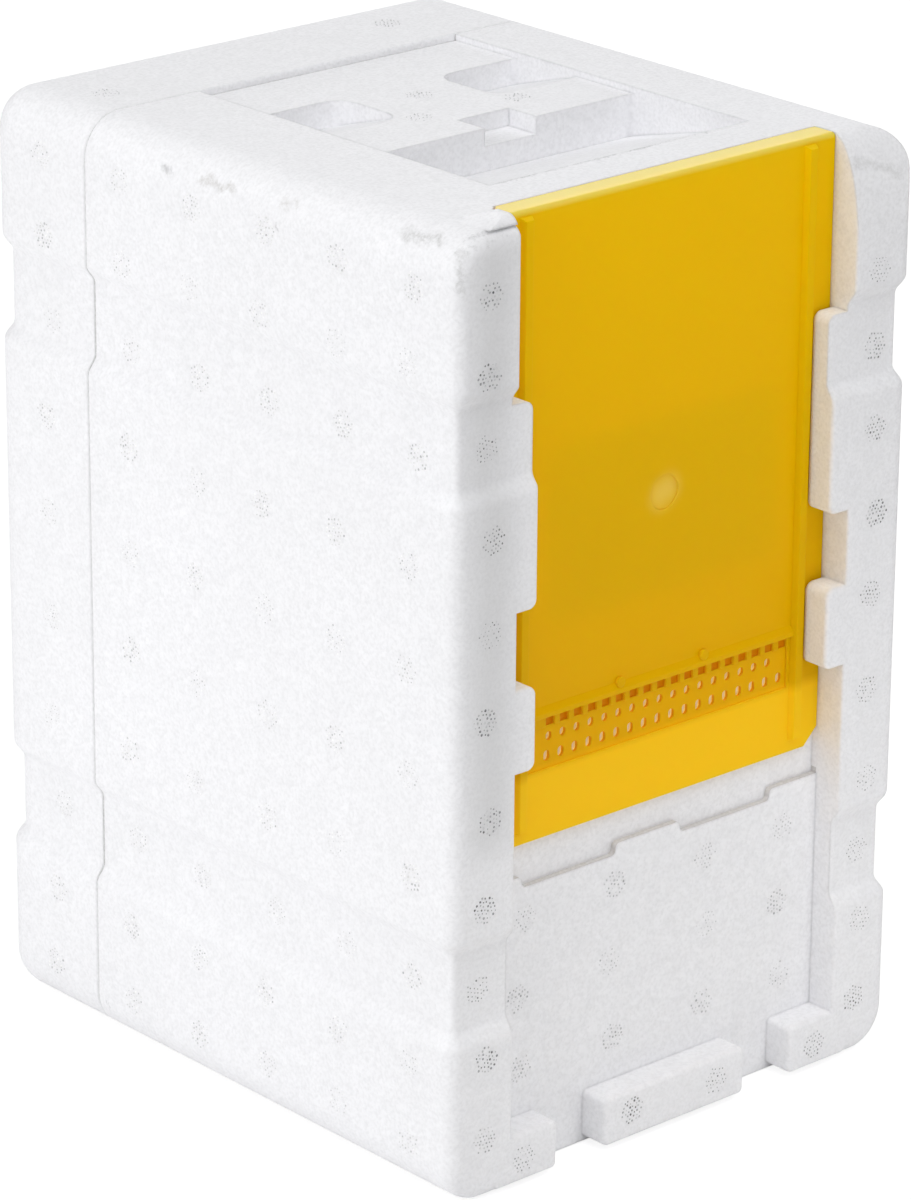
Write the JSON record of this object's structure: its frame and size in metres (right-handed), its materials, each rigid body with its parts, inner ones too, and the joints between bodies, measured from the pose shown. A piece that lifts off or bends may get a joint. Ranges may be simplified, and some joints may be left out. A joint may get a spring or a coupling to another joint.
{
  "type": "mating hive box",
  "caption": "Small foam hive box with a lift-off lid, a sliding vented floor between two rails, hanging frames, a feeder tub and a clear inner cover.",
  "frame": {"origin": "centre of the rear end, on the surface that the box stands on in the picture", "axes": "+Z from the rear end up to the entrance end, +Y from the floor rails to the lid, +X across the box. In use the box lies on its rails, with +Y up."},
  "size_m": [0.15, 0.178, 0.2472],
  "materials": {
    "white_foam": "matte",
    "yellow_plastic": "satin",
    "clear_sheet": "gloss",
    "feeder_plastic": "satin",
    "pale_wood": "matte",
    "beeswax": "satin"
  },
  "bodies": {
    "hive": {"hive_body": "white_foam"},
    "lid": {"lid": "white_foam"},
    "floor_slide": {"floor_slide": "yellow_plastic"},
    "cover_sheet": {"cover_sheet": "clear_sheet"},
    "feeder": {"feeder_tub": "feeder_plastic"},
    "excluder": {"feeder_excluder": "feeder_plastic"},
    "frame_1": {"top_bar_1": "pale_wood", "left_end_bar_1": "pale_wood", "right_end_bar_1": "pale_wood", "bottom_bar_1": "pale_wood", "wax_strip_1": "beeswax"},
    "frame_2": {"top_bar_2": "pale_wood", "left_end_bar_2": "pale_wood", "right_end_bar_2": "pale_wood", "bottom_bar_2": "pale_wood", "wax_strip_2": "beeswax"},
    "frame_3": {"top_bar_3": "pale_wood", "left_end_bar_3": "pale_wood", "right_end_bar_3": "pale_wood", "bottom_bar_3": "pale_wood", "wax_strip_3": "beeswax"},
    "frame_4": {"top_bar_4": "pale_wood", "left_end_bar_4": "pale_wood", "right_end_bar_4": "pale_wood", "bottom_bar_4": "pale_wood", "wax_strip_4": "beeswax"},
    "frame_5": {"top_bar_5": "pale_wood", "left_end_bar_5": "pale_wood", "right_end_bar_5": "pale_wood", "bottom_bar_5": "pale_wood", "wax_strip_5": "beeswax"}
  },
  "joints": [
    {"name": "floor_slide_travel", "type": "slide", "parent": "hive", "child": "floor_slide", "axis": [0, 0, 1], "range_m": [0, 0.162]},
    {"name": "lid_lift", "type": "slide", "parent": "hive", "child": "lid", "axis": [0, 1, 0], "range_m": [0, 0.22]},
    {"name": "cover_lift", "type": "slide", "parent": "hive", "child": "cover_sheet", "axis": [0, 1, 0], "range_m": [0, 0.1705]},
    {"name": "feeder_lift", "type": "slide", "parent": "hive", "child": "feeder", "axis": [0, 1, 0], "range_m": [0, 0.1155]},
    {"name": "excluder_lift", "type": "slide", "parent": "feeder", "child": "excluder", "axis": [0, 1, 0], "range_m": [0, 0.0245]},
    {"name": "frame_1_lift", "type": "slide", "parent": "hive", "child": "frame_1", "axis": [0, 1, 0], "range_m": [0, 0.1155]},
    {"name": "frame_2_lift", "type": "slide", "parent": "hive", "child": "frame_2", "axis": [0, 1, 0], "range_m": [0, 0.1155]},
    {"name": "frame_3_lift", "type": "slide", "parent": "hive", "child": "frame_3", "axis": [0, 1, 0], "range_m": [0, 0.1155]},
    {"name": "frame_4_lift", "type": "slide", "parent": "hive", "child": "frame_4", "axis": [0, 1, 0], "range_m": [0, 0.1155]},
    {"name": "frame_5_lift", "type": "slide", "parent": "hive", "child": "frame_5", "axis": [0, 1, 0], "range_m": [0, 0.1155]}
  ],
  "couplings": [
    {"joint": "cover_lift", "follows": "lid_lift", "ratio": 0.77273},
    {"joint": "feeder_lift", "follows": "lid_lift", "ratio": 0.52273},
    {"joint": "excluder_lift", "follows": "lid_lift", "ratio": 0.10909},
    {"joint": "frame_1_lift", "follows": "lid_lift", "ratio": 0.52273},
    {"joint": "frame_2_lift", "follows": "lid_lift", "ratio": 0.52273},
    {"joint": "frame_3_lift", "follows": "lid_lift", "ratio": 0.52273},
    {"joint": "frame_4_lift", "follows": "lid_lift", "ratio": 0.52273},
    {"joint": "frame_5_lift", "follows": "lid_lift", "ratio": 0.52273}
  ]
}
